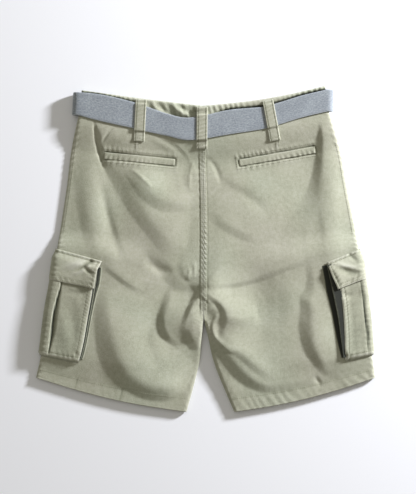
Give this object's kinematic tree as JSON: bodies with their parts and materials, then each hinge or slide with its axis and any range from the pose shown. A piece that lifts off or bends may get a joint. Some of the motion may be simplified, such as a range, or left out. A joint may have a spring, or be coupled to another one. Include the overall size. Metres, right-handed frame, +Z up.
{
  "type": "cargo shorts",
  "caption": "Knee-length twill cargo shorts laid flat on their front, with a webbing belt in its loops, welted back pockets and flapped cargo pockets.",
  "frame": {"origin": "under the middle of the whole, on the surface that the shorts lie on", "axes": "+Z up from the surface, +X across the shorts towards the wearer's right side, +Y towards the waist"},
  "size_m": [0.542, 0.52, 0.0237],
  "materials": {
    "twill": "washed cotton twill",
    "webbing": "heathered woven webbing",
    "buckle_metal": "satin",
    "button_resin": "polished resin"
  },
  "bodies": {
    "root": {"back_left": "twill", "back_right": "twill", "front_left": "twill", "front_right": "twill", "back_welt_left": "twill", "back_welt_right": "twill", "cargo_pocket_left": "twill", "cargo_pocket_right": "twill", "cargo_gusset_left": "twill", "cargo_gusset_right": "twill", "cargo_flap_left": "twill", "cargo_flap_right": "twill", "waistband_back": "twill", "waistband_front_left": "twill", "waistband_front_right": "twill", "loop_back_left": "twill", "loop_back_centre": "twill", "loop_back_right": "twill", "loop_front_left": "twill", "loop_front_right": "twill", "fly_zip": "webbing", "belt": "webbing", "belt_buckle": "buckle_metal", "waist_button": "button_resin"}
  },
  "joints": []
}
